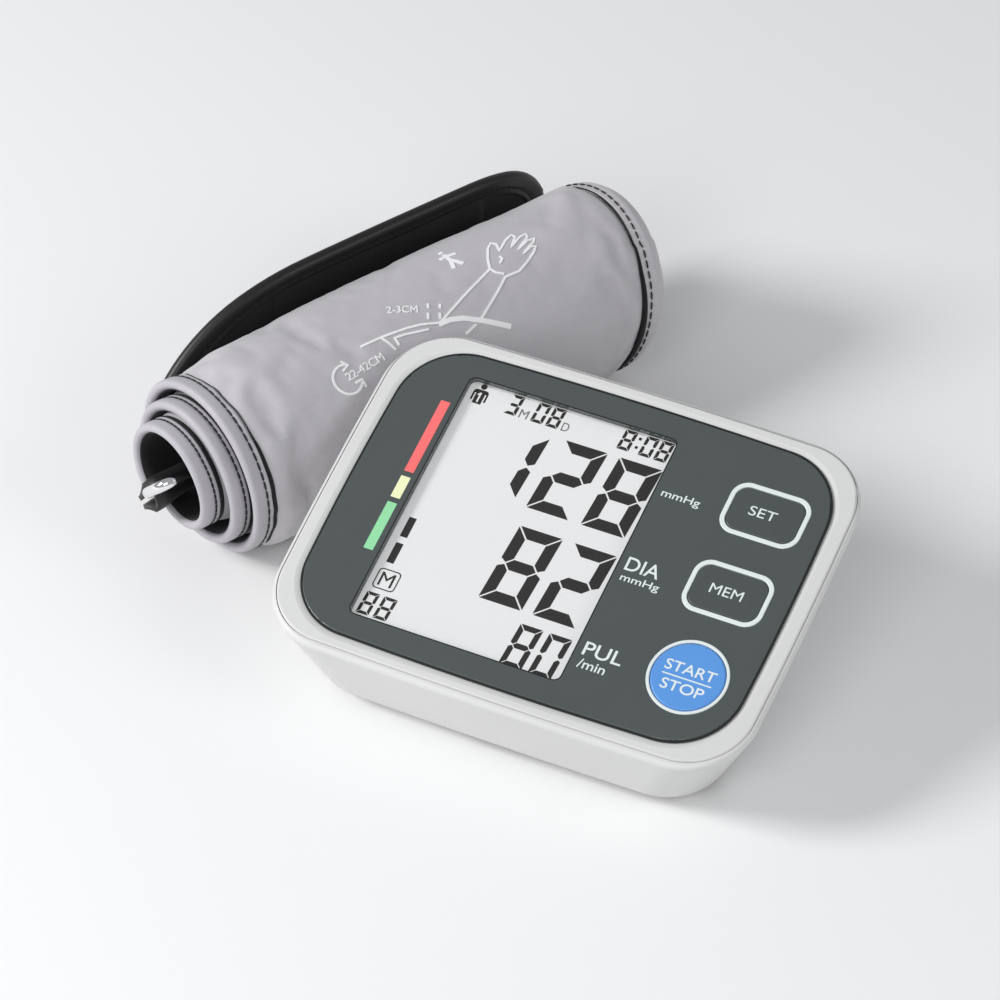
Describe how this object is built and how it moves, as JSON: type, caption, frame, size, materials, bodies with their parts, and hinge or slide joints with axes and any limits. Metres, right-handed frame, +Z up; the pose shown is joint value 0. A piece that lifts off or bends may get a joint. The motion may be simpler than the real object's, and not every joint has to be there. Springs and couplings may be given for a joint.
{
  "type": "blood pressure monitor with arm cuff",
  "caption": "Table-top upper-arm blood pressure monitor with display and push keys, and its inflatable fabric arm cuff rolled up beside it.",
  "frame": {"origin": "on the table, under the centre of the set's bounding box", "axes": "+Z up, the user sits on the -Y side, +X to the user's right"},
  "size_m": [0.1935, 0.1776, 0.0554],
  "materials": {
    "housing": "fine satin moulded",
    "panel": "smooth, slightly glossy",
    "lens": "clear polished",
    "lcd": "satin reflective display",
    "frame_plastic": "white moulded",
    "ribbon": "amber film",
    "board": "green solder mask",
    "chips": "black moulded epoxy",
    "switches": "stamped steel",
    "key_ring": "pale satin",
    "grey_key": "dark satin",
    "blue_key": "blue satin",
    "screws": "zinc plated",
    "feet": "matt rubber",
    "door": "fine satin moulded",
    "cells": "printed wrap",
    "contacts": "nickel plated",
    "motor": "drawn steel can",
    "white_plastic": "white moulded",
    "silicone": "translucent silicone",
    "sockets": "black moulded",
    "leads": "insulated wire",
    "cuff_cloth": "grey satin nylon, fine plain weave",
    "cuff_edge": "grey woven binding",
    "cuff_dark": "black brushed lining",
    "hooks": "black hook tape",
    "bladder": "calendered film",
    "chrome": "polished"
  },
  "bodies": {
    "monitor": {"lower_housing": "housing", "upper_housing": "housing", "face_panel": "panel", "display_lens": "lens", "lcd_glass": "lcd", "lcd_frame": "frame_plastic", "display_flex": "ribbon", "main_board": "board", "board_chips": "chips", "pressure_sensor": "chips", "buzzer": "chips", "release_valve": "chips", "button_switches": "switches", "set_key_ring": "key_ring", "memory_key_ring": "key_ring", "start_key_ring": "key_ring", "board_screws": "screws", "housing_screws": "screws", "rubber_feet": "feet", "battery_cells": "cells", "battery_contacts": "contacts", "battery_springs": "contacts", "pump_motor": "motor", "pump_strap": "motor", "pump_head": "white_plastic", "air_manifold": "white_plastic", "air_tubes": "silicone", "air_socket": "sockets", "power_socket": "sockets", "motor_leads": "leads"},
    "set_key": {"set_button": "grey_key"},
    "memory_key": {"memory_button": "grey_key"},
    "start_key": {"start_stop_button": "blue_key"},
    "battery_door": {"battery_cover": "door"},
    "cuff": {"cuff_fabric": "cuff_cloth", "cuff_lining": "cuff_dark", "cuff_bladder": "bladder", "left_edge_binding": "cuff_edge", "right_edge_binding": "cuff_edge", "ring_loop": "cuff_dark", "hose_port": "sockets"},
    "loose_end": {"cuff_flap": "cuff_dark", "hook_patch": "hooks"},
    "ring": {"metal_ring": "chrome"}
  },
  "joints": [
    {"name": "set_press", "type": "slide", "parent": "monitor", "child": "set_key", "axis": [0, 0.342, -0.9397], "range_m": [0, 0.0006], "stiffness_N_per_m": 1500, "springref_m": -0.0003},
    {"name": "memory_press", "type": "slide", "parent": "monitor", "child": "memory_key", "axis": [0, 0.342, -0.9397], "range_m": [0, 0.0006], "stiffness_N_per_m": 1500, "springref_m": -0.0003},
    {"name": "start_press", "type": "slide", "parent": "monitor", "child": "start_key", "axis": [0, 0.342, -0.9397], "range_m": [0, 0.0006], "stiffness_N_per_m": 1500, "springref_m": -0.0003},
    {"name": "battery_cover_hinge", "type": "hinge", "parent": "monitor", "child": "battery_door", "pos_m": [0.031, -0.01425, 0.0035], "axis": [1, 0, 0], "range_deg": [0, 95]},
    {"name": "cuff_lift", "type": "slide", "parent": "monitor", "child": "cuff", "axis": [-0.816, 0.3945, 0.4226], "range_m": [0, 0.12]},
    {"name": "loose_end_peel", "type": "hinge", "parent": "cuff", "child": "loose_end", "pos_m": [-0.06067, 0.01862, 0.00613], "axis": [-0.4352, -0.9003, 0], "range_deg": [-4, 50], "stiffness_Nm_per_rad": 0.15},
    {"name": "ring_swing", "type": "hinge", "parent": "cuff", "child": "ring", "pos_m": [-0.0531, 0.00385, 0.0222], "axis": [-0.4352, -0.9003, 0], "range_deg": [0, 45]}
  ]
}
